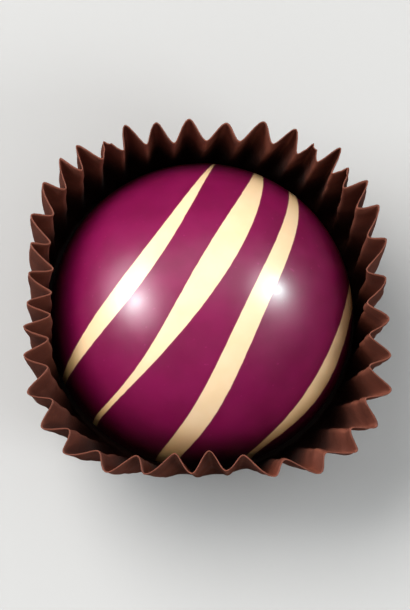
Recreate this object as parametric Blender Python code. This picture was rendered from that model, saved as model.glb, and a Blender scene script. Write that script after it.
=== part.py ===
"""A moulded chocolate bonbon standing in its pleated paper case.

The bonbon is a plum-coloured dome on a short skirt, with four ivory stripes painted flush into its shell.
The case is one sheet of dark brown paper pressed into a flat base and a wall of 37 pleats. Its rim isn't
round: the wall stands steep on four sides and spreads at the four corners between them.

Metres, Z up. The origin is the centre of the underside of the case. Seen from above with Y pointing up, the
stripes run from lower left to upper right.
"""

import math

import bmesh
import bpy
import numpy as np
from mathutils import Vector

MM = 0.001

# Bonbon
DOME_RADIUS = 15.0 * MM
DOME_CENTRE_HEIGHT = 3.5 * MM
SKIRT_BASE_RADIUS = 15.06 * MM
BASE_EDGE_ROUND = 0.5 * MM
DOME_STEPS = 15
ROUND_STEPS = 3
DOME_SEGMENTS = 60
SHARP_ANGLE = math.radians(35.0)
WELD_DISTANCE = 0.001 * MM
CUT_TOLERANCE = 0.04 * MM
UNDERSIDE_NORMAL = -0.9

# Each stripe lies between two planes. A plane has a heading and a tilt in degrees, the direction of its
# normal, and a distance from the centre of the dome. The stripe is ahead of its first plane and behind its
# second.
STRIPES = (
    ((-36.4, 1.7, -7.40 * MM), (-33.7, -5.7, -7.59 * MM)),
    ((-31.2, -4.9, -3.64 * MM), (-34.3, -12.7, -3.30 * MM)),
    ((-25.8, -6.6, 1.98 * MM), (-23.6, -9.9, 3.17 * MM)),
    ((-27.8, -26.4, 8.17 * MM), (-30.1, -55.5, 4.53 * MM)),
)

# Paper case
PAPER_THICKNESS = 0.2 * MM
REST_GAP = 0.3 * MM
CASE_BASE_RADIUS = 15.7 * MM
BASE_FLAT_RADIUS = 14.4 * MM
BEND_SIZE = 0.3 * MM
EDGE_LIFT = 0.03 * MM
WALL_SLANT = 13.9 * MM
PLEATS = 37
TIP_HALF_WIDTH = 0.06
BASE_TURN = -2.0
WALL_STEPS = (0.08, 0.2, 0.36, 0.56, 0.78, 1.0)
FLARE_POWER = 0.92
LEG_GAIN = 1.06
LEAST_DEPTH = 0.25 * MM

# The rim of the case, seen from above: its mean tip radius, then how far it departs from a circle. A wave has
# a count of lobes, a size and the direction in degrees of one of its crests.
RIM_TIP_RADIUS = 18.89 * MM
RIM_WAVES = (
    (1, 0.30 * MM, -105.0),
    (2, 0.20 * MM, -7.0),
    (3, 0.27 * MM, -34.0),
    (4, 1.47 * MM, 45.4),
    (5, 0.22 * MM, 18.4),
)

# How far the pleats crowd round the rim, in degrees, against an even spacing.
PITCH_TURN = -4.06
PITCH_WAVES = (
    (1, 8.3, 27.3),
    (2, 2.95, -28.4),
    (3, 0.91, 17.0),
    (4, 2.21, 22.3),
    (5, 1.31, 29.1),
)

# Each pleat strays a little from those rules.
SEED = 37
STRAY_TURN = 0.35
STRAY_RADIUS = 0.08 * MM
STRAY_SLANT = 0.12 * MM

PLUM = (0.42, 0.045, 0.23)
IVORY = (0.97, 0.92, 0.80)
BROWN_PAPER = (0.27, 0.14, 0.11)


def linear(colour):
    """The linear value of a display colour, with an alpha of one."""
    return tuple(c / 12.92 if c <= 0.04045 else ((c + 0.055) / 1.055) ** 2.4 for c in colour) + (1.0,)


def make_material(name, colour, roughness, coat):
    """A Principled material with a clear coat."""
    material = bpy.data.materials.new(name)
    material.use_nodes = True
    shader = material.node_tree.nodes["Principled BSDF"]
    shader.inputs["Base Color"].default_value = linear(colour)
    shader.inputs["Roughness"].default_value = roughness
    shader.inputs["Metallic"].default_value = 0.0
    shader.inputs["Coat Weight"].default_value = coat
    material.diffuse_color = linear(colour)
    return material


def add_object(name, mesh, materials):
    """Link a mesh to the scene as an object with its materials."""
    thing = bpy.data.objects.new(name, mesh)
    for material in materials:
        mesh.materials.append(material)
    bpy.context.scene.collection.objects.link(thing)
    return thing


def bonbon_profile():
    """Points (radius, height) of the bonbon from the middle of its base round to the top of the dome."""
    base = PAPER_THICKNESS + REST_GAP
    points = [(0.0, base)]
    for step in range(ROUND_STEPS + 1):
        turn = math.radians(90.0) * step / ROUND_STEPS
        radius = SKIRT_BASE_RADIUS - BASE_EDGE_ROUND * (1.0 - math.sin(turn))
        points.append((radius, base + BASE_EDGE_ROUND * (1.0 - math.cos(turn))))
    for step in range(DOME_STEPS + 1):
        turn = math.radians(90.0) * step / DOME_STEPS
        points.append((DOME_RADIUS * math.cos(turn), DOME_CENTRE_HEIGHT + DOME_RADIUS * math.sin(turn)))
    points[-1] = (0.0, points[-1][1])
    return points


def stripe_plane(heading, tilt, distance):
    """A point on a stripe's plane, and the plane's normal."""
    flat = math.cos(math.radians(tilt))
    normal = Vector((
        flat * math.cos(math.radians(heading)),
        flat * math.sin(math.radians(heading)),
        math.sin(math.radians(tilt)),
    ))
    return Vector((0.0, 0.0, DOME_CENTRE_HEIGHT)) + normal * distance, normal


def paint_stripes(bm, slot):
    """Cut the shell along the edges of every stripe and give the faces between them the ivory material.

    The flat underside stays whole: its faces' normals point lower than the limit.
    """
    planes = [tuple(stripe_plane(*edge) for edge in stripe) for stripe in STRIPES]
    for stripe in planes:
        for point, normal in stripe:
            shell = [face for face in bm.faces if face.normal.z > UNDERSIDE_NORMAL]
            edges = {edge for face in shell for edge in face.edges}
            verts = {vert for face in shell for vert in face.verts}
            bmesh.ops.bisect_plane(
                bm, geom=shell + list(edges) + list(verts), dist=CUT_TOLERANCE, plane_co=point,
                plane_no=normal)
    for face in bm.faces:
        centre = face.calc_center_median()
        for (first, ahead), (second, behind) in planes:
            inside = ahead.dot(centre - first) > 0.0 > behind.dot(centre - second)
            if inside and face.normal.z > UNDERSIDE_NORMAL:
                face.material_index = slot


def make_bonbon():
    """Turn the profile about the Z axis, close it and paint the stripes."""
    bm = bmesh.new()
    verts = [bm.verts.new((radius, 0.0, height)) for radius, height in bonbon_profile()]
    edges = [bm.edges.new(pair) for pair in zip(verts, verts[1:])]
    bmesh.ops.spin(
        bm, geom=verts + edges, cent=(0, 0, 0), axis=(0, 0, 1), angle=math.tau, steps=DOME_SEGMENTS,
        use_merge=True)
    bmesh.ops.remove_doubles(bm, verts=bm.verts, dist=WELD_DISTANCE)
    bmesh.ops.recalc_face_normals(bm, faces=bm.faces)
    paint_stripes(bm, slot=1)
    bmesh.ops.triangulate(bm, faces=bm.faces)
    mesh = bpy.data.meshes.new("bonbon")
    bm.to_mesh(mesh)
    bm.free()
    mesh.shade_smooth()
    mesh.set_sharp_from_angle(angle=SHARP_ANGLE)
    plum = make_material("plum_shell", PLUM, roughness=0.18, coat=0.8)
    ivory = make_material("ivory_stripe", IVORY, roughness=0.2, coat=0.8)
    return add_object("bonbon", mesh, (plum, ivory))


def waves(angle, terms):
    """The sum of the lobes in a list of (count, size, crest direction), at an angle in degrees."""
    return sum(size * np.cos(np.radians(count * (angle - crest))) for count, size, crest in terms)


def case_columns():
    """The columns of the wall, four to a pleat: two corners of its tip, then two of the valley after it.

    Returns the turn of every column at the base and at the rim in degrees, its half pitch at both, +1 on a
    tip and -1 in a valley, and the strays of its pleat in radius and in slant.
    """
    rng = np.random.default_rng(SEED)
    stray_turn = rng.uniform(-STRAY_TURN, STRAY_TURN, PLEATS)
    stray_radius = rng.uniform(-STRAY_RADIUS, STRAY_RADIUS, PLEATS)
    stray_slant = rng.uniform(-STRAY_SLANT, STRAY_SLANT, PLEATS)

    phase = np.array([-TIP_HALF_WIDTH, TIP_HALF_WIDTH, 0.5 - TIP_HALF_WIDTH, 0.5 + TIP_HALF_WIDTH])
    side = np.tile([1.0, 1.0, -1.0, -1.0], PLEATS)
    pleat = (np.arange(PLEATS)[:, None] + phase[None, :]).ravel()

    even = pleat * 360.0 / PLEATS
    nearest = np.arange(PLEATS + 1)
    wander = np.interp(pleat % PLEATS, nearest, np.append(stray_turn, stray_turn[0]))
    at_rim = even + PITCH_TURN + waves(even, PITCH_WAVES) + wander
    at_base = even + BASE_TURN

    step = 180.0 / PLEATS
    half_pitch_rim = step + 0.5 * (waves(even + step, PITCH_WAVES) - waves(even - step, PITCH_WAVES))
    half_pitch_base = np.full_like(even, step)
    owner = np.repeat(np.arange(PLEATS), len(phase))
    return at_base, at_rim, half_pitch_base, half_pitch_rim, side, stray_radius[owner], stray_slant[owner]


def wall_rings():
    """One ring of points for each step up the wall, as the paper's middle surface.

    The flat sheet was a disc, so a leg of a pleat grows with its distance from the middle of the sheet. Where
    the ring of legs is gathered into a smaller circle, each leg stands out from it: the depth of the pleat is
    the third side of the right triangle whose longest side is the leg and whose other side is half the pitch.
    A fold keeps its length, so a fold that leans out further ends lower.
    """
    at_base, at_rim, pitch_base, pitch_rim, side, stray_radius, stray_slant = case_columns()
    rim_leg = LEG_GAIN * math.pi / PLEATS * (CASE_BASE_RADIUS + WALL_SLANT)
    tip = RIM_TIP_RADIUS + waves(at_rim, RIM_WAVES)
    half_arc = np.radians(pitch_rim) * tip
    rim_depth = np.sqrt(np.maximum(rim_leg**2 - half_arc**2, LEAST_DEPTH**2))
    rim_middle = tip - 0.5 * rim_depth

    rings = []
    for part in WALL_STEPS:
        slant = part * (WALL_SLANT + stray_slant)
        turn = np.radians(at_base + (at_rim - at_base) * part)
        middle = CASE_BASE_RADIUS + (rim_middle - CASE_BASE_RADIUS) * part**FLARE_POWER
        leg = LEG_GAIN * math.pi / PLEATS * (CASE_BASE_RADIUS + slant)
        half_arc = np.radians(pitch_base + (pitch_rim - pitch_base) * part) * middle
        depth = np.sqrt(np.maximum(leg**2 - half_arc**2, (LEAST_DEPTH * (1.0 + part))**2))
        radius = middle + 0.5 * side * depth + stray_radius * part
        rise = np.sqrt(np.maximum(slant**2 - (radius - CASE_BASE_RADIUS)**2, 0.0))
        height = PAPER_THICKNESS / 2 + BEND_SIZE + rise
        rings.append(np.stack([radius * np.cos(turn), radius * np.sin(turn), height], axis=1))
    return rings


def base_rings():
    """The rings of the flat base: the edge of its flat disc, the start of the bend and the foot of the wall.

    The bend starts a hair above the flat disc, so that the case stands on the disc.
    """
    at_base, _, _, _, side, _, _ = case_columns()
    turn = np.radians(at_base)
    middle = PAPER_THICKNESS / 2
    rings = []
    for radius, height, ripple in (
        (BASE_FLAT_RADIUS, middle, 0.0),
        (CASE_BASE_RADIUS - BEND_SIZE, middle + EDGE_LIFT, 0.0),
        (CASE_BASE_RADIUS, middle + BEND_SIZE, 0.5 * LEAST_DEPTH),
    ):
        out = radius + side * ripple
        rings.append(np.stack([out * np.cos(turn), out * np.sin(turn), np.full_like(turn, height)], axis=1))
    return rings


def make_paper_case():
    """Join the rings into one sheet, from the middle of its base to its rim, and give it its thickness."""
    bm = bmesh.new()
    rings = [[bm.verts.new(point) for point in ring] for ring in base_rings() + wall_rings()]
    centre = bm.verts.new((0.0, 0.0, PAPER_THICKNESS / 2))
    for start, end in zip(rings[0], rings[0][1:] + rings[0][:1]):
        bm.faces.new((centre, end, start))
    for lower, upper in zip(rings, rings[1:]):
        for index in range(len(lower)):
            after = (index + 1) % len(lower)
            bm.faces.new((lower[index], lower[after], upper[after], upper[index]))
    bmesh.ops.triangulate(bm, faces=[face for face in bm.faces if len(face.verts) == 4])
    mesh = bpy.data.meshes.new("paper_case")
    bm.to_mesh(mesh)
    bm.free()
    paper = make_material("brown_paper", BROWN_PAPER, roughness=0.5, coat=0.15)
    case = add_object("paper_case", mesh, (paper,))
    sheet = case.modifiers.new("paper thickness", "SOLIDIFY")
    sheet.thickness = PAPER_THICKNESS
    sheet.offset = 0.0
    sheet.use_even_offset = True
    return case


def main():
    """Clear the scene and make both pieces."""
    for thing in list(bpy.data.objects):
        bpy.data.objects.remove(thing, do_unlink=True)
    make_bonbon()
    make_paper_case()


main()
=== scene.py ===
"""A striped bonbon in its pleated paper case, as surfaces worked out from a few sizes.

The bonbon is a glossy plum dome, turned from a profile, with four ivory stripes that its material paints.
The case is one sheet of brown paper, gathered into pleats. Both keep the places and sizes of the solids they
stand for.
"""

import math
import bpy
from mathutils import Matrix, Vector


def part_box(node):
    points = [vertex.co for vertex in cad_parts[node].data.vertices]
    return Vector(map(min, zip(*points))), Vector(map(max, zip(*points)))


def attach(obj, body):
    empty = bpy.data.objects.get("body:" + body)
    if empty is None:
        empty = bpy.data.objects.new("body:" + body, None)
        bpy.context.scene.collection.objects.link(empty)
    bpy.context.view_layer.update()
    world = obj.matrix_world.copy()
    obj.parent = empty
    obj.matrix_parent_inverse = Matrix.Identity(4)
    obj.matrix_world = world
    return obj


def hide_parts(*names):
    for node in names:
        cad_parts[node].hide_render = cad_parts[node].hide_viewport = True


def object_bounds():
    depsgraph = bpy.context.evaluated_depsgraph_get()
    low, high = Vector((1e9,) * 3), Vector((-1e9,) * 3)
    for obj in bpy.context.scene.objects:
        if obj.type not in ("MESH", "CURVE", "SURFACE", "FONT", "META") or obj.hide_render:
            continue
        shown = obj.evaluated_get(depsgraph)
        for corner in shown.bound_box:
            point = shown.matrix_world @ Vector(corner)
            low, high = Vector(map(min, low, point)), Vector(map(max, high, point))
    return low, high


bl_info = {
    "name": "Striped Bonbon in a Paper Case",
    "version": (1, 0, 0),
    "blender": (4, 5, 0),
    "location": "3D View > Sidebar > Bonbon",
    "description": "Makes a moulded bonbon, its pleated paper case and a small studio round them",
    "category": "Add Mesh",
}

import bpy
import numpy as np
from mathutils import Matrix, Vector

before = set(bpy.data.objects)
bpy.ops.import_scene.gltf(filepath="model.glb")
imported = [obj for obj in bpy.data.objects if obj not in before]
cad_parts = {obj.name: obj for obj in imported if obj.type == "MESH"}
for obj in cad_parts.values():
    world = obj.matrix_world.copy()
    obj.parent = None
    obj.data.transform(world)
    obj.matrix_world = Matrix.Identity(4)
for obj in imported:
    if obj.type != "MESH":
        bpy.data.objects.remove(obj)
CAD_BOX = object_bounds()
BONBON_LOW, BONBON_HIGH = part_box("bonbon")

MM = 0.001

# Stripes, in the plan of the dome and in dome radii. Across runs to the lower right and along to the upper
# right. Each stripe has two edges, and each edge is the curve through its across at the five stations.
STRIPE_HEADING = -31.0
STRIPE_STATIONS = (-0.8, -0.4, 0.0, 0.4, 0.8)
STRIPE_EDGES = (
    ((-0.575, -0.563, -0.519, -0.482, -0.451), (-0.520, -0.447, -0.404, -0.407, -0.431)),
    ((-0.187, -0.153, -0.167, -0.172, -0.173), (-0.145, -0.044, 0.009, 0.009, -0.067)),
    ((0.276, 0.273, 0.232, 0.194, 0.129), (0.409, 0.421, 0.369, 0.315, 0.215)),
    ((0.673, 0.827, 0.858, 0.803, 0.684), (0.697, 0.881, 0.948, 0.869, 0.824)),
)

# The dome's mesh: its rings, the length of its unevenness in dome radii, and the height in which that fades
# in above the rounded base edge.
FOOT_RINGS = (0.5, 0.9)
BEND_STEPS = 9
SKIRT_STEPS = 12
DOME_STEPS = 150
SWELL_LENGTH = 0.7
SWELL_FADE = 2.0 * MM

# Lobes of the case's rim and of the crowding of its pleats: count, size and the direction of a crest in
# degrees. The pleats are also turned as a whole, at the rim and at the base.
RIM_WAVES = (
    (1, 0.30 * MM, -105.0),
    (2, 0.20 * MM, -7.0),
    (3, 0.27 * MM, -34.0),
    (4, 1.47 * MM, 45.4),
    (5, 0.22 * MM, 18.4),
)
PITCH_TURN = -4.06
PITCH_WAVES = (
    (1, 8.3, 27.3),
    (2, 2.95, -28.4),
    (3, 0.91, 17.0),
    (4, 2.21, 22.3),
    (5, 1.31, 29.1),
)
BASE_TURN = -2.0

# The wall's rings crowd towards its foot and its columns towards the folds. Its flare is nearly even from
# base to rim. A leg is a little longer than the flat sheet gives, and no pleat is shallower than the least
# depth. Just above the base a pleat has only a part of its depth.
RING_CROWDING = 1.25
COLUMN_CROWDING = 0.55
FLARE_POWER = 0.92
LEG_GAIN = 1.06
LEAST_DEPTH = 0.25 * MM
DEPTH_AT_BASE = 0.3
DEPTH_GROWTH = 4.0

# The flat base's rings, as parts of its radius, and the steps of its bend up into the wall.
BASE_RINGS = (0.2, 0.4, 0.6, 0.75, 0.85, 0.92, 0.96)
CORNER_STEPS = 5

# Each pleat strays a little in its turn in degrees, its radius and its slant.
STRAY_SEED = 37
STRAY_TURN = 0.35
STRAY_RADIUS = 0.08 * MM
STRAY_SLANT = 0.12 * MM

# The tips curl sideways, by an angle in degrees. The tips of three pleats at the back corners are crumpled
# and pushed in. The paper's dents have about one length, and lie closer round the wall than up it.
TIP_CURL = 1.5
STRAY_CURL = 0.9
CRUMPLED_PLEATS = (4, 6, 13)
CRUMPLE_PUSH = 0.95 * MM
CRUMPLE_RIPPLE = 0.22 * MM
CRUMPLE_FOLDS = 3.5
DENT_LENGTH = 6.0 * MM
DENT_CROWDING = 1.6

# Counts to the metre of the materials' noises, and the depth of their bumps.
PLUM_CLOUDS = 260.0
PLUM_SPECKS = 1900.0
IVORY_CLOUDS = 420.0
GLOSS_SMEARS = 340.0
SKIN_DIMPLES = 700.0
EDGE_WOBBLES = 900.0
PAPER_FIBRES = 2600.0
PAPER_CLOUDS = 380.0
FLOOR_CLOUDS = 6.0
SKIN_DEPTH = 0.008 * MM
FIBRE_DEPTH = 0.03 * MM

# The paper is paler along its folds, fully so from this far out in the flat sheet, and near its cut rim:
# partly the paper's wear, partly painted highlight where they catch the light. Painted shade darkens the wall
# low down, and fades out between two parts of the slant, lower on the outside than on the inside. A surface
# turns from inside to outside as the dot product of its place in plan and its normal passes from the first
# length to the second.
CREASE_REACH = 20.0 * MM
CUT_EDGE = 0.25 * MM
SHADE_OUTSIDE = (0.0, 0.7)
SHADE_INSIDE = (0.3, 0.85)
FACING_OUT = (0.5 * MM, 4.0 * MM)

# Roughness, from the smoothest spots to the roughest.
SHELL_ROUGHNESS = (0.46, 0.56)
GLOSS_ROUGHNESS = (0.28, 0.33)
PAPER_ROUGHNESS = (0.58, 0.72)
FLOOR_ROUGHNESS = 0.7

# The direction from the object to the camera.
CAMERA_BACK = Vector((-0.071, -0.163, 0.984)).normalized()

# Each light has a direction from the object, a width and a colour, and all stand at one distance. A lamp
# lights the surfaces and doesn't show in their gloss. A shine shows there alone. The settings hold their
# power.
WHITE = (1.0, 1.0, 1.0)
WARM = (1.0, 0.94, 0.89)
COOL = (0.72, 1.0, 0.94)
LIGHT_DISTANCE = 1.2
LAMPS = {
    "left_lamp": ((-0.77, 0.06, 0.64), 0.50, WHITE),
    "upper_left_lamp": ((-0.50, 0.45, 0.74), 0.90, WARM),
    "right_lamp": ((0.70, -0.38, 0.60), 0.50, WHITE),
}
SHINES = {
    "left_shine": ((-0.823, 0.059, 0.570), 0.14, COOL),
    "left_halo": ((-0.79, -0.03, 0.61), 0.60, WHITE),
    "left_glow": ((-0.865, 0.23, 0.445), 0.80, WHITE),
    "right_shine": ((0.802, 0.190, 0.567), 0.09, COOL),
    "right_halo": ((0.70, 0.20, 0.68), 0.50, WHITE),
    "right_glow": ((0.85, 0.05, 0.52), 0.60, WHITE),
    "back_glow": ((0.05, 0.45, 0.89), 1.10, WHITE),
}

# The tint of the room's own light, and how far the floor reaches to each side.
ROOM_TINT = (1.0, 0.985, 0.96)
FLOOR_REACH = 2.0


def linear(*colour):
    """The linear value of a display colour."""
    return tuple(c / 12.92 if c <= 0.04045 else ((c + 0.055) / 1.055) ** 2.4 for c in colour)


def surface_mesh(name, grid, first_cap=None, last_cap=None):
    """A mesh of rings: quads join each ring of a (rings, columns, 3) grid to the next.

    A fan joins the first ring or the last to a point, where one is given.
    """
    rings, columns = grid.shape[:2]
    here = np.arange(rings * columns).reshape(rings, columns)
    after = np.roll(here, -1, axis=1)
    faces = np.stack([here[:-1], after[:-1], after[1:], here[1:]], axis=-1).reshape(-1, 4).tolist()
    points = [grid.reshape(-1, 3)]
    count = rings * columns
    if first_cap is not None:
        faces += np.stack([np.full(columns, count), after[0], here[0]], axis=-1).tolist()
        points.append(np.reshape(first_cap, (1, 3)))
        count += 1
    if last_cap is not None:
        faces += np.stack([np.full(columns, count), here[-1], after[-1]], axis=-1).tolist()
        points.append(np.reshape(last_cap, (1, 3)))
    mesh = bpy.data.meshes.new(name)
    mesh.from_pydata(np.concatenate(points), [], faces)
    mesh.shade_smooth()
    return mesh


def store(mesh, name, values):
    """Keep one number for each point of a mesh, for a material to read."""
    layer = mesh.attributes.new(name, "FLOAT", "POINT")
    layer.data.foreach_set("value", np.ascontiguousarray(values, dtype=np.float32))


def show(name, mesh, material):
    """Put a mesh in the scene at the origin, in place of an older piece of that name."""
    if name in bpy.data.objects:
        bpy.data.objects.remove(bpy.data.objects[name], do_unlink=True)
    mesh.materials.append(material)
    piece = bpy.data.objects.new(name, mesh)
    bpy.context.scene.collection.objects.link(piece)
    return piece


def waves(angle, terms):
    """The sum of the lobes in a list of (count, size, crest direction), at angles in degrees."""
    return sum(size * np.cos(np.radians(count * (angle - crest))) for count, size, crest in terms)


def unevenness(places, seed, length, terms=10):
    """A smooth random field, mostly between -1 and 1.

    It is a sum of sine waves of about one length in seeded directions, over the square root of their
    number.
    """
    rng = np.random.default_rng(seed)
    directions = rng.normal(size=(terms, places.shape[-1]))
    directions /= np.linalg.norm(directions, axis=1)[:, None]
    numbers = 2.0 * math.pi / (length * rng.uniform(0.7, 1.6, terms))
    phases = rng.uniform(0.0, 2.0 * math.pi, terms)
    return np.sin(places @ (directions * numbers[:, None]).T + phases).sum(axis=-1) / math.sqrt(terms)


def bonbon_profile(settings):
    """Radius and height down the bonbon's outline, from its base up to just below the top of the dome.

    A quarter circle rounds the base edge, a straight skirt leans a hair, and another quarter circle makes
    the dome.
    """
    dome = BONBON_HIGH[2] - settings.centre_height
    foot = settings.foot_height
    foot_radius = settings.foot_width / 2
    edge = settings.edge_round
    bend = np.linspace(0.0, math.pi / 2, BEND_STEPS)
    rise = np.linspace(0.0, 1.0, SKIRT_STEPS)[1:-1]
    arc = np.linspace(0.0, math.pi / 2, DOME_STEPS)[:-1]
    radius = np.concatenate([
        foot_radius * np.array(FOOT_RINGS),
        foot_radius - edge * (1.0 - np.sin(bend)),
        foot_radius + (dome - foot_radius) * rise,
        dome * np.cos(arc),
    ])
    height = np.concatenate([
        [foot] * len(FOOT_RINGS),
        foot + edge * (1.0 - np.cos(bend)),
        foot + edge + (settings.centre_height - foot - edge) * rise,
        settings.centre_height + dome * np.sin(arc),
    ])
    return radius, height


def bonbon_mesh(settings):
    """The profile turned about Z, then pushed in and out by a faint unevenness, as a cast shell is."""
    radius, height = bonbon_profile(settings)
    turn = np.linspace(0.0, 2.0 * math.pi, settings.columns, endpoint=False)
    grid = np.stack([
        radius[:, None] * np.cos(turn),
        radius[:, None] * np.sin(turn),
        np.broadcast_to(height[:, None], (len(height), len(turn))),
    ], axis=-1)
    centre = np.array([0.0, 0.0, settings.centre_height])
    outward = grid - centre
    outward /= np.linalg.norm(outward, axis=-1, keepdims=True)
    above = np.clip((grid[..., 2:] - settings.foot_height - settings.edge_round) / SWELL_FADE, 0.0, 1.0)
    swell = unevenness(outward, seed=5, length=SWELL_LENGTH)[..., None]
    swell -= swell[-1].mean()
    grid = grid + outward * swell * above * settings.waviness
    top = (0.0, 0.0, BONBON_HIGH[2])
    return surface_mesh("striped_bonbon", grid, (0.0, 0.0, settings.foot_height), top)


def wall_parts(settings):
    """How far up the wall each of its rings is, as a column: 1 is the rim."""
    return np.linspace(0.0, 1.0, settings.wall_rings + 1)[1:, None]**RING_CROWDING


def pleat_columns(settings):
    """The place of each column along the row of pleats, and how far it stands out on every ring, -1 to 1.

    The columns crowd towards the folds. A pleat is a sine wave sharpened towards a zigzag by an arcsine.
    """
    step = np.arange(settings.columns_per_pleat) / settings.columns_per_pleat
    phase = step - COLUMN_CROWDING * np.sin(4.0 * math.pi * step) / (4.0 * math.pi)
    place = (np.arange(settings.pleats)[:, None] + phase).ravel()
    part = wall_parts(settings)
    sharp = settings.base_sharpness + (settings.rim_sharpness - settings.base_sharpness) * part
    stand = np.arcsin(sharp * np.cos(2.0 * math.pi * place)) / np.arcsin(sharp)
    return place, stand


def crumpled_tips(place, part):
    """How far out the crumpled tips stand from the even ones: a ripple less a push, under a cosine hill."""
    out = np.zeros((len(part), len(place)))
    for pleat in CRUMPLED_PLEATS:
        away = place - pleat
        spot = np.cos(math.pi * np.clip(away, -0.5, 0.5))**2 * part**3
        out += spot * (CRUMPLE_RIPPLE * np.sin(2.0 * math.pi * CRUMPLE_FOLDS * away) - CRUMPLE_PUSH)
    return out


def wall_grid(settings, place, stand):
    """The wall's rings, from just above the base up to the rim, and how far up the sheet each point lies.

    The flat sheet was a disc, so a leg of a pleat grows with its distance from the middle of the sheet.
    Where the legs are gathered into a smaller circle they stand out from it: the depth of a pleat is the
    third side of the right triangle whose longest side is the leg and whose other side is half the pitch.
    The outer folds curl sideways near the rim. A fold keeps its length, so one that leans out further ends
    lower.
    """
    pleats = settings.pleats
    base = settings.base_width / 2
    rng = np.random.default_rng(STRAY_SEED)
    sizes = (STRAY_TURN, STRAY_RADIUS, STRAY_SLANT, STRAY_CURL)
    strays = [rng.uniform(-size, size, pleats) for size in sizes]
    closed = np.arange(pleats + 1)
    stray_turn, stray_radius, stray_slant, stray_curl = (
        np.interp(place, closed, np.append(stray, stray[0])) for stray in strays)

    even = place * 360.0 / pleats
    half = 180.0 / pleats
    at_base = even + BASE_TURN
    at_rim = even + PITCH_TURN + waves(even, PITCH_WAVES) + stray_turn
    pitch_rim = half + 0.5 * (waves(even + half, PITCH_WAVES) - waves(even - half, PITCH_WAVES))

    tip = settings.rim_width / 2 + waves(at_rim, RIM_WAVES)
    rim_leg = LEG_GAIN * math.pi / pleats * (base + settings.slant)
    rim_depth = np.sqrt(np.maximum(rim_leg**2 - (np.radians(pitch_rim) * tip)**2, LEAST_DEPTH**2))
    rim_middle = tip - 0.5 * rim_depth

    part = wall_parts(settings)
    slant = part * (settings.slant + stray_slant)
    curl = (TIP_CURL * np.cos(np.radians(at_rim)) + stray_curl) * part**3 * (0.5 + 0.5 * stand)**1.5
    turn = np.radians(at_base + (at_rim - at_base) * part + curl)
    middle = base + (rim_middle - base) * part**FLARE_POWER
    leg = LEG_GAIN * math.pi / pleats * (base + slant)
    half_arc = np.radians(half + (pitch_rim - half) * part) * middle
    depth = np.sqrt(np.maximum(leg**2 - half_arc**2, (LEAST_DEPTH * (1.0 + part))**2))
    grown = np.minimum(1.0, DEPTH_AT_BASE + DEPTH_GROWTH * part)
    across = DENT_CROWDING * slant
    places = np.stack([np.cos(turn) * across, np.sin(turn) * across, slant], axis=-1)
    dents = settings.crumple * unevenness(places, seed=11, length=DENT_LENGTH) * part
    radius = middle + 0.5 * stand * depth * grown + stray_radius * part + crumpled_tips(place, part) + dents
    rise = np.sqrt(np.maximum(slant**2 - (radius - base)**2, 0.0))
    height = settings.thickness / 2 + settings.bend + rise
    return np.stack([radius * np.cos(turn), radius * np.sin(turn), height], axis=-1), slant


def base_grid(settings, turn, stand):
    """The flat base's rings and the bend up into the wall, and how far out in the flat sheet each point lies.

    The bend is a quarter circle that already ripples a little, to lead into the pleats.
    """
    paper = settings.thickness / 2
    base = settings.base_width / 2
    flat = np.array(BASE_RINGS)[:, None] * (base - settings.bend)
    level = np.full((len(flat), len(turn)), paper)
    disc = np.stack([flat * np.cos(turn), flat * np.sin(turn), level], axis=-1)
    bend = np.linspace(0.0, math.pi / 2, CORNER_STEPS)[:, None]
    ripple = 0.25 * LEAST_DEPTH * stand * np.sin(bend)
    out = base - settings.bend * (1.0 - np.sin(bend)) + ripple
    up = np.broadcast_to(paper + settings.bend * (1.0 - np.cos(bend)), out.shape)
    corner = np.stack([out * np.cos(turn), out * np.sin(turn), up], axis=-1)
    reach = np.concatenate([flat, np.full_like(bend, base)])
    return np.concatenate([disc, corner]), np.broadcast_to(reach, (len(reach), len(turn)))


def sheet_grid(settings):
    """The paper's middle surface, as rings from near the middle of the base out to the rim.

    Returns the grid, its reach from the middle of the flat sheet and its stand, from -1 on the inner folds
    to 1 on the outer ones.
    """
    place, stand = pleat_columns(settings)
    at_base = place * 360.0 / settings.pleats + BASE_TURN
    wall, slant = wall_grid(settings, place, stand)
    base, inner = base_grid(settings, np.radians(at_base), stand[0])
    grid = np.concatenate([base, wall])
    reach = np.concatenate([inner, settings.base_width / 2 + slant])
    stand = np.concatenate([np.broadcast_to(stand[0], inner.shape), stand])
    return grid, reach, stand


def add_node(tree, kind, inputs=None, **options):
    """A shader node. Options set its own properties.

    Inputs gives each named or numbered socket a value, or another node's socket to link.
    """
    node = tree.nodes.new("ShaderNode" + kind)
    for name, value in options.items():
        setattr(node, name, value)
    for name, value in (inputs or {}).items():
        if isinstance(value, bpy.types.NodeSocket):
            tree.links.new(value, node.inputs[name])
        else:
            node.inputs[name].default_value = value
    return node


def calculate(tree, operation, *values):
    """The result of a Math node on numbers and sockets."""
    return add_node(tree, "Math", dict(enumerate(values)), operation=operation).outputs[0]


def ramp(tree, value, low, high, start=0.0, end=1.0):
    """A smooth step of a socket from start to end, between low and high."""
    inputs = {"Value": value, "From Min": low, "From Max": high, "To Min": start, "To Max": end}
    return add_node(tree, "MapRange", inputs, interpolation_type="SMOOTHSTEP").outputs["Result"]


def mix(tree, factor, first, second, blend="MIX"):
    """Two colours mixed by a factor."""
    made = add_node(tree, "Mix", data_type="RGBA", blend_type=blend)
    for socket, value in zip((made.inputs[0], made.inputs[6], made.inputs[7]), (factor, first, second)):
        if isinstance(value, bpy.types.NodeSocket):
            tree.links.new(value, socket)
        else:
            socket.default_value = value
    return made.outputs[2]


def noise(tree, place, scale, detail=2.0, rough=0.5):
    """A noise of a given count to the metre."""
    inputs = {"Vector": place, "Scale": scale, "Detail": detail, "Roughness": rough}
    return add_node(tree, "TexNoise", inputs).outputs["Fac"]


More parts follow.
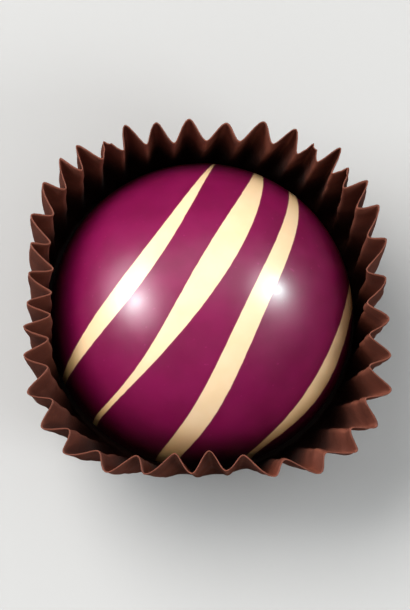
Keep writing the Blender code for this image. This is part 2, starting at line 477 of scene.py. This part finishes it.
def new_material(name):
    """An empty Principled material with its tree, shader and object coordinates."""
    material = bpy.data.materials.new(name)
    material.use_nodes = True
    tree = material.node_tree
    place = add_node(tree, "TexCoord").outputs["Object"]
    return material, tree, tree.nodes["Principled BSDF"], place


def stripe_cover(tree, place, settings):
    """How much ivory covers a point: a smooth step of its depth inside the nearest stripe.

    A point is turned to the stripes' heading and scaled to dome radii. An edge is the quartic through its
    stations. Inside a stripe, both across - first edge and second edge - across are positive, and the
    smaller of them is the depth.
    """
    radius = BONBON_HIGH[2] - settings.centre_height
    turned = add_node(tree, "Mapping", {
        "Vector": place,
        "Rotation": (0.0, 0.0, math.radians(-STRIPE_HEADING)),
        "Scale": (1.0 / radius,) * 3,
    })
    split = add_node(tree, "SeparateXYZ", {"Vector": turned.outputs[0]})
    across, along = split.outputs["X"], split.outputs["Y"]
    wobble = calculate(tree, "SUBTRACT", noise(tree, place, EDGE_WOBBLES, detail=3.0), 0.5)
    across = calculate(tree, "MULTIPLY_ADD", wobble, settings.edge_wobble / radius, across)

    def edge(offsets):
        first, *rest = np.polyfit(STRIPE_STATIONS, offsets, len(STRIPE_STATIONS) - 1).tolist()
        value = first
        for term in rest:
            value = calculate(tree, "MULTIPLY_ADD", along, value, term)
        return value

    depth = -1.0
    for first, second in STRIPE_EDGES:
        after_first = calculate(tree, "SUBTRACT", across, edge(first))
        before_second = calculate(tree, "SUBTRACT", edge(second), across)
        depth = calculate(tree, "MAXIMUM", depth, calculate(tree, "MINIMUM", after_first, before_second))
    soft = settings.edge_softness / radius
    return ramp(tree, depth, -soft, soft)


def shell_material(settings):
    """Coloured cocoa butter: cloudy plum with a rosy sheen, and flush ivory stripes, under one gloss."""
    material, tree, shader, place = new_material("striped_shell")
    cloud = noise(tree, place, PLUM_CLOUDS, detail=4.0)
    plum = mix(tree, ramp(tree, cloud, 0.3, 0.7), (*settings.plum_deep, 1.0), (*settings.plum, 1.0))
    speck = ramp(tree, noise(tree, place, PLUM_SPECKS, detail=1.0), 0.70, 0.80, 0.0, 0.35)
    plum = mix(tree, speck, plum, (*settings.plum_bloom, 1.0))
    milk = noise(tree, place, IVORY_CLOUDS, detail=3.0)
    ivory = mix(tree, ramp(tree, milk, 0.3, 0.7), (*settings.ivory_warm, 1.0), (*settings.ivory, 1.0))
    # Painted shade: low on the dome, where the case shades it, the plum turns darker and the ivory warmer, as
    # if lit by light bounced off the brown paper.
    height = add_node(tree, "SeparateXYZ", {"Vector": place}).outputs["Z"]
    low = ramp(tree, height, settings.shade_full_height, settings.shade_clear_height, 1.0, 0.0)
    plum = mix(tree, low, plum, (*settings.plum_painted_shade, 1.0))
    ivory = mix(tree, low, ivory, (*settings.ivory_painted_shade, 1.0))
    cover = stripe_cover(tree, place, settings)
    tree.links.new(mix(tree, cover, plum, ivory), shader.inputs["Base Color"])
    sheen = mix(tree, cover, (*settings.plum_sheen, 1.0), (1.0, 1.0, 1.0, 1.0))
    tree.links.new(sheen, shader.inputs["Specular Tint"])
    smear = noise(tree, place, GLOSS_SMEARS, detail=5.0, rough=0.6)
    tree.links.new(ramp(tree, smear, 0.35, 0.75, *SHELL_ROUGHNESS), shader.inputs["Roughness"])
    tree.links.new(ramp(tree, smear, 0.35, 0.75, *GLOSS_ROUGHNESS), shader.inputs["Coat Roughness"])
    dimples = noise(tree, place, SKIN_DIMPLES, detail=2.0)
    skin = add_node(tree, "Bump", {"Height": dimples, "Strength": 0.3, "Distance": SKIN_DEPTH})
    tree.links.new(skin.outputs["Normal"], shader.inputs["Normal"])
    shader.inputs["Subsurface Weight"].default_value = 0.12
    shader.inputs["Subsurface Radius"].default_value = (1.0, 0.45, 0.3)
    shader.inputs["Subsurface Scale"].default_value = 0.6 * MM
    shader.inputs["Specular IOR Level"].default_value = 0.1
    shader.inputs["Coat Weight"].default_value = 1.0
    shader.inputs["Coat IOR"].default_value = 1.40
    return material


def paper_material(settings):
    """Brown greaseproof paper: cloudy fibres, paler along its folds and at the cut rim, with painted shade
    below.

    The pale folds and rim are partly wear and partly painted highlight. The painted shade reaches higher on
    the inside, where the surface faces the middle.
    """
    material, tree, shader, place = new_material("brown_paper")
    fibre = noise(tree, place, PAPER_FIBRES, detail=4.0, rough=0.65)
    cloud = noise(tree, place, PAPER_CLOUDS, detail=3.0)
    wear_and_highlight = (*settings.paper_wear_and_highlight, 1.0)
    body = mix(tree, ramp(tree, cloud, 0.3, 0.7), (*settings.paper_deep, 1.0), (*settings.paper, 1.0))
    body = mix(tree, ramp(tree, fibre, 0.45, 0.75, 0.0, 0.30), body, wear_and_highlight)
    stand = add_node(tree, "Attribute", attribute_name="stand").outputs["Fac"]
    reach = add_node(tree, "Attribute", attribute_name="reach").outputs["Fac"]
    foot = settings.base_width / 2
    rim = foot + settings.slant
    # Paler along the folds: partly creased paper, partly painted highlight where the folds catch the light.
    crease_and_highlight = ramp(tree, calculate(tree, "ABSOLUTE", stand), 0.82, 1.0, 0.0, 0.35)
    crease_and_highlight = calculate(tree, "MULTIPLY", crease_and_highlight, ramp(tree, reach, foot, CREASE_REACH))
    body = mix(tree, crease_and_highlight, body, wear_and_highlight)
    # Painted shade: dark low in the wall, stronger on the inside and reaching higher there.
    level = add_node(tree, "VectorMath", {0: place, 1: (1.0, 1.0, 0.0)}, operation="MULTIPLY").outputs[0]
    normal = place.node.outputs["Normal"]
    outward = add_node(tree, "VectorMath", {0: level, 1: normal}, operation="DOT_PRODUCT").outputs["Value"]
    inside = ramp(tree, outward, *FACING_OUT, 1.0, 0.0)
    inner = ramp(tree, reach, *(foot + part * settings.slant for part in SHADE_INSIDE), 1.0, 0.0)
    outer = ramp(tree, reach, *(foot + part * settings.slant for part in SHADE_OUTSIDE), 0.6, 0.0)
    painted_shade = calculate(tree, "MAXIMUM", outer, calculate(tree, "MULTIPLY", inside, inner))
    body = mix(tree, painted_shade, body, (*settings.paper_painted_shade, 1.0))
    # Paler at the cut rim: partly a rubbed edge, partly painted highlight where the edge catches the light.
    cut = ramp(tree, reach, rim - CUT_EDGE, rim, 0.0, 0.3)
    tree.links.new(mix(tree, cut, body, wear_and_highlight), shader.inputs["Base Color"])
    tree.links.new(ramp(tree, fibre, 0.3, 0.7, *PAPER_ROUGHNESS), shader.inputs["Roughness"])
    grain = add_node(tree, "Bump", {"Height": fibre, "Strength": 0.5, "Distance": FIBRE_DEPTH})
    tree.links.new(grain.outputs["Normal"], shader.inputs["Normal"])
    shader.inputs["Specular IOR Level"].default_value = 0.15
    return material


def floor_material(settings):
    """A plain pale matt surface with the faintest cloudiness."""
    material, tree, shader, place = new_material("pale_floor")
    cloud = noise(tree, place, FLOOR_CLOUDS, detail=3.0)
    pale = mix(tree, cloud, (*settings.floor, 1.0), (*[min(1.0, c * 1.03) for c in settings.floor], 1.0))
    tree.links.new(pale, shader.inputs["Base Color"])
    shader.inputs["Roughness"].default_value = FLOOR_ROUGHNESS
    shader.inputs["Specular IOR Level"].default_value = 0.0
    return material


class BonbonSettings(bpy.types.PropertyGroup):
    """Sizes and colours of the bonbon."""

    foot_width: bpy.props.FloatProperty(
        name="Foot width", description="Width of the skirt at the base", unit="LENGTH", min=0.01,
        default=BONBON_HIGH[0] - BONBON_LOW[0])
    foot_height: bpy.props.FloatProperty(
        name="Foot height", description="Height of the flat base, on the paper", unit="LENGTH",
        default=0.12 * MM)
    centre_height: bpy.props.FloatProperty(
        name="Centre height", description="Height of the middle of the dome", unit="LENGTH", default=3.5 * MM)
    edge_round: bpy.props.FloatProperty(
        name="Edge round", description="Radius of the rounded base edge", unit="LENGTH", default=0.5 * MM)
    waviness: bpy.props.FloatProperty(
        name="Waviness", description="Size of the shell's unevenness", unit="LENGTH", default=0.02 * MM)
    edge_wobble: bpy.props.FloatProperty(
        name="Stripe wobble", description="How far the stripes' edges stray", unit="LENGTH",
        default=0.10 * MM)
    edge_softness: bpy.props.FloatProperty(
        name="Stripe softness", description="Half the width of a stripe's soft edge", unit="LENGTH",
        default=0.05 * MM)
    # Heights of the painted shade on the dome: full below the first, none above the second.
    shade_full_height: bpy.props.FloatProperty(
        name="Deep below", description="Height below which the colours are at their deepest", unit="LENGTH",
        default=5.0 * MM)
    shade_clear_height: bpy.props.FloatProperty(
        name="Clear above", description="Height above which the colours are at their clearest", unit="LENGTH",
        default=13.5 * MM)
    columns: bpy.props.IntProperty(
        name="Columns", description="Points round the dome", default=320, min=24)
    plum: bpy.props.FloatVectorProperty(
        name="Plum", description="Main colour of the shell", subtype="COLOR", size=3,
        default=linear(0.475, 0.045, 0.275))
    plum_deep: bpy.props.FloatVectorProperty(
        name="Deep plum", description="Colour of the shell's darker clouds", subtype="COLOR", size=3,
        default=linear(0.43, 0.032, 0.24))
    # Painted shade: the plum low on the dome, darkened where the case shades it.
    plum_painted_shade: bpy.props.FloatVectorProperty(
        name="Low plum", description="Colour of the shell low on the dome, where it is thickest",
        subtype="COLOR", size=3, default=linear(0.31, 0.008, 0.145))
    plum_bloom: bpy.props.FloatVectorProperty(
        name="Bloom", description="Colour of the shell's faint specks", subtype="COLOR", size=3,
        default=linear(0.62, 0.16, 0.42))
    plum_sheen: bpy.props.FloatVectorProperty(
        name="Rosy sheen", description="Tint of the plum's broad gloss", subtype="COLOR", size=3,
        default=linear(1.0, 0.84, 0.90))
    ivory: bpy.props.FloatVectorProperty(
        name="Ivory", description="Main colour of the stripes", subtype="COLOR", size=3,
        default=linear(0.94, 0.828, 0.68))
    # Painted shade: the stripes low on the dome, warmed as if lit by light bounced off the brown paper.
    ivory_painted_shade: bpy.props.FloatVectorProperty(
        name="Golden ivory", description="Colour of the stripes low on the dome, where they thin out",
        subtype="COLOR", size=3, default=linear(1.0, 0.83, 0.555))
    ivory_warm: bpy.props.FloatVectorProperty(
        name="Warm ivory", description="Colour of the stripes' warmer clouds", subtype="COLOR", size=3,
        default=linear(0.93, 0.81, 0.645))


class CaseSettings(bpy.types.PropertyGroup):
    """Sizes and colours of the paper case."""

    pleats: bpy.props.IntProperty(
        name="Pleats", description="Number of pleats in the wall", default=37, min=8)
    base_width: bpy.props.FloatProperty(
        name="Base width", description="Width of the flat base", unit="LENGTH", default=31.4 * MM)
    rim_width: bpy.props.FloatProperty(
        name="Rim width", description="Mean width of the rim, tip to tip", unit="LENGTH", default=37.78 * MM)
    slant: bpy.props.FloatProperty(
        name="Wall slant", description="Length of a fold from base to rim", unit="LENGTH", default=13.9 * MM)
    bend: bpy.props.FloatProperty(
        name="Bend", description="Radius of the bend between base and wall", unit="LENGTH", default=0.3 * MM)
    thickness: bpy.props.FloatProperty(
        name="Paper", description="Thickness of the paper", unit="LENGTH", default=0.1 * MM)
    base_sharpness: bpy.props.FloatProperty(
        name="Base sharpness", description="Shape of the folds at the base: 0 is round and 1 sharp",
        subtype="FACTOR", min=0.1, max=0.9999, default=0.72)
    rim_sharpness: bpy.props.FloatProperty(
        name="Rim sharpness", description="Shape of the folds at the rim: 0 is round and 1 sharp",
        subtype="FACTOR", min=0.1, max=0.9999, default=0.50)
    crumple: bpy.props.FloatProperty(
        name="Crumple", description="Size of the paper's dents", unit="LENGTH", default=0.13 * MM)
    columns_per_pleat: bpy.props.IntProperty(
        name="Columns", description="Points across each pleat", default=14, min=4)
    wall_rings: bpy.props.IntProperty(
        name="Rings", description="Points up the wall", default=44, min=4)
    paper: bpy.props.FloatVectorProperty(
        name="Brown", description="Main colour of the paper", subtype="COLOR", size=3,
        default=linear(0.39, 0.205, 0.155))
    paper_deep: bpy.props.FloatVectorProperty(
        name="Deep brown", description="Colour of the paper's darker clouds", subtype="COLOR", size=3,
        default=linear(0.325, 0.165, 0.122))
    # Painted shade: the dark low in the wall, standing for the shade inside the case.
    paper_painted_shade: bpy.props.FloatVectorProperty(
        name="Soaked brown", description="Colour low in the wall, where fat has soaked in", subtype="COLOR",
        size=3, default=linear(0.14, 0.062, 0.044))
    # The paper's wear, and painted highlight along the folds and at the cut rim.
    paper_wear_and_highlight: bpy.props.FloatVectorProperty(
        name="Worn brown", description="Colour along folds, fibres and the cut rim", subtype="COLOR", size=3,
        default=linear(0.49, 0.285, 0.22))


class StageSettings(bpy.types.PropertyGroup):
    """The floor, the lights and the camera."""

    floor: bpy.props.FloatVectorProperty(
        name="Floor", description="Colour of the floor", subtype="COLOR", size=3,
        default=linear(0.70, 0.71, 0.715))
    left_lamp: bpy.props.FloatProperty(
        name="Left lamp", description="Power of the lamp on the left", default=4.5, min=0.0)
    upper_left_lamp: bpy.props.FloatProperty(
        name="Upper left lamp", description="Power of the wide lamp at the upper left", default=17.0, min=0.0)
    right_lamp: bpy.props.FloatProperty(
        name="Right lamp", description="Power of the lamp on the right", default=4.0, min=0.0)
    left_shine: bpy.props.FloatProperty(
        name="Left shine", description="Power of the left highlight", default=7.5, min=0.0)
    left_halo: bpy.props.FloatProperty(
        name="Left halo", description="Power of the halo round the left highlight", default=10.0, min=0.0)
    left_glow: bpy.props.FloatProperty(
        name="Left glow", description="Power of the soft glow on the left of the dome", default=13.5, min=0.0)
    right_shine: bpy.props.FloatProperty(
        name="Right shine", description="Power of the right highlight", default=11.0, min=0.0)
    right_halo: bpy.props.FloatProperty(
        name="Right halo", description="Power of the halo round the right highlight", default=8.5, min=0.0)
    right_glow: bpy.props.FloatProperty(
        name="Right glow", description="Power of the soft glow on the right of the dome", default=2.5,
        min=0.0)
    back_glow: bpy.props.FloatProperty(
        name="Back glow", description="Power of the soft glow on the back of the dome", default=5.0, min=0.0)
    front_room: bpy.props.FloatProperty(
        name="Front of the room", description="Strength of the room's own light at the front", default=0.80,
        min=0.0)
    back_room: bpy.props.FloatProperty(
        name="Back of the room", description="Strength of the room's own light at the back", default=0.62,
        min=0.0)
    room_heading: bpy.props.FloatProperty(
        name="Room heading", description="How far to the left the back of the room stands, in degrees",
        default=30.0)
    horizon: bpy.props.FloatProperty(
        name="Horizon", description="Height, as a sine, up to which the room's light fades in", default=0.6,
        min=0.01, max=1.0)
    distance: bpy.props.FloatProperty(
        name="Camera distance", description="From the camera to the object", unit="LENGTH", default=0.5)
    lens: bpy.props.FloatProperty(
        name="Lens", description="Focal length", unit="CAMERA", default=300.0)


class BONBON_OT_shell(bpy.types.Operator):
    """Make the striped bonbon in place of its plain solid"""

    bl_idname = "bonbon.make_shell"
    bl_label = "Striped Bonbon"

    def execute(self, context):
        settings = context.scene.bonbon_shell
        piece = show("striped_bonbon", bonbon_mesh(settings), shell_material(settings))
        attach(piece, "root")
        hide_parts("bonbon")
        return {"FINISHED"}


class BONBON_OT_case(bpy.types.Operator):
    """Make the pleated paper case in place of its plain solid"""

    bl_idname = "bonbon.make_case"
    bl_label = "Paper Case"

    def execute(self, context):
        settings = context.scene.bonbon_case
        grid, reach, stand = sheet_grid(settings)
        mesh = surface_mesh("pleated_case", grid, first_cap=(0.0, 0.0, settings.thickness / 2))
        store(mesh, "reach", np.append(reach.ravel(), 0.0))
        store(mesh, "stand", np.append(stand.ravel(), 0.0))
        piece = show("pleated_case", mesh, paper_material(settings))
        sheet = piece.modifiers.new("paper thickness", "SOLIDIFY")
        sheet.thickness = settings.thickness
        sheet.offset = 0.0
        sheet.use_even_offset = True
        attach(piece, "root")
        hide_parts("paper_case")
        return {"FINISHED"}


class BONBON_OT_stage(bpy.types.Operator):
    """Set the pale floor, the soft lights and the camera"""

    bl_idname = "bonbon.set_stage"
    bl_label = "Stage"

    def execute(self, context):
        scene = context.scene
        settings = scene.bonbon_stage
        low, high = CAD_BOX
        aim = (low + high) / 2
        self.add_floor(settings)
        for name, (direction, width, colour) in {**LAMPS, **SHINES}.items():
            light = self.add_light(name, aim, Vector(direction).normalized(), width)
            light.data.energy = getattr(settings, name)
            light.data.color = colour
            light.visible_diffuse = name in LAMPS
            light.visible_glossy = name in SHINES
        self.add_sky(scene, settings)
        self.add_camera(scene, settings, aim)
        scene.view_settings.view_transform = "Standard"
        return {"FINISHED"}

    def add_floor(self, settings):
        """A square pale floor at height 0, which the gloss doesn't mirror."""
        mesh = bpy.data.meshes.new("floor")
        corners = [(-1, -1), (1, -1), (1, 1), (-1, 1)]
        mesh.from_pydata([(FLOOR_REACH * x, FLOOR_REACH * y, 0) for x, y in corners], [], [(0, 1, 2, 3)])
        floor = show("floor", mesh, floor_material(settings))
        floor.visible_glossy = False

    def add_light(self, name, aim, direction, width):
        """A round soft light, turned to the object."""
        light = bpy.data.lights.new(name, "AREA")
        light.shape = "DISK"
        light.size = width
        lamp = bpy.data.objects.new(name, light)
        lamp.location = aim + direction * LIGHT_DISTANCE
        lamp.rotation_euler = direction.to_track_quat("Z", "Y").to_euler()
        lamp.visible_camera = False
        bpy.context.scene.collection.objects.link(lamp)
        return lamp

    def add_sky(self, scene, settings):
        """A soft pale light that fades out towards the horizon and isn't mirrored in the gloss.

        It goes smoothly from one strength at the front to another at the back.
        """
        world = bpy.data.worlds.new("room")
        world.use_nodes = True
        tree = world.node_tree
        toward = add_node(tree, "SeparateXYZ", {"Vector": add_node(tree, "TexCoord").outputs["Generated"]})
        left = math.radians(settings.room_heading)
        back = calculate(tree, "MULTIPLY", toward.outputs["Y"], math.cos(left))
        back = calculate(tree, "MULTIPLY_ADD", toward.outputs["X"], -math.sin(left), back)
        level = ramp(tree, back, -0.25, 0.5, settings.front_room, settings.back_room)
        level = calculate(tree, "MULTIPLY", level, ramp(tree, toward.outputs["Z"], 0.0, settings.horizon))
        tree.links.new(level, tree.nodes["Background"].inputs["Strength"])
        tree.nodes["Background"].inputs["Color"].default_value = (*ROOM_TINT, 1.0)
        scene.world = world
        world.cycles_visibility.glossy = False

    def add_camera(self, scene, settings, aim):
        """A long lens looking down at the object, with the Y axis up the picture."""
        data = bpy.data.cameras.new("camera")
        data.lens = settings.lens
        data.clip_start = 0.01
        camera = bpy.data.objects.new("camera", data)
        up = (Vector((0.0, 1.0, 0.0)) - CAMERA_BACK * CAMERA_BACK.y).normalized()
        side = up.cross(CAMERA_BACK)
        turn = Matrix((side, up, CAMERA_BACK)).transposed()
        camera.matrix_world = Matrix.Translation(aim + CAMERA_BACK * settings.distance) @ turn.to_4x4()
        scene.collection.objects.link(camera)
        scene.camera = camera


class BONBON_PT_panel(bpy.types.Panel):
    """The pieces and their settings, in the sidebar"""

    bl_idname = "BONBON_PT_panel"
    bl_label = "Striped Bonbon"
    bl_space_type = "VIEW_3D"
    bl_region_type = "UI"
    bl_category = "Bonbon"

    def draw(self, context):
        for operator, settings in STEPS:
            box = self.layout.box()
            box.operator(operator)
            group = getattr(context.scene, settings)
            for name in group.__annotations__:
                box.prop(group, name)


STEPS = (
    ("bonbon.make_shell", "bonbon_shell"),
    ("bonbon.make_case", "bonbon_case"),
    ("bonbon.set_stage", "bonbon_stage"),
)
GROUPS = {"bonbon_shell": BonbonSettings, "bonbon_case": CaseSettings, "bonbon_stage": StageSettings}
CLASSES = (*GROUPS.values(), BONBON_OT_shell, BONBON_OT_case, BONBON_OT_stage, BONBON_PT_panel)


def register():
    for made in CLASSES:
        bpy.utils.register_class(made)
    for name, group in GROUPS.items():
        setattr(bpy.types.Scene, name, bpy.props.PointerProperty(type=group))


def unregister():
    for name in GROUPS:
        delattr(bpy.types.Scene, name)
    for made in reversed(CLASSES):
        bpy.utils.unregister_class(made)


def main():
    """Make every piece and the stage."""
    register()
    bpy.ops.bonbon.make_shell()
    bpy.ops.bonbon.make_case()
    bpy.ops.bonbon.set_stage()


if __name__ == "__main__":
    main()
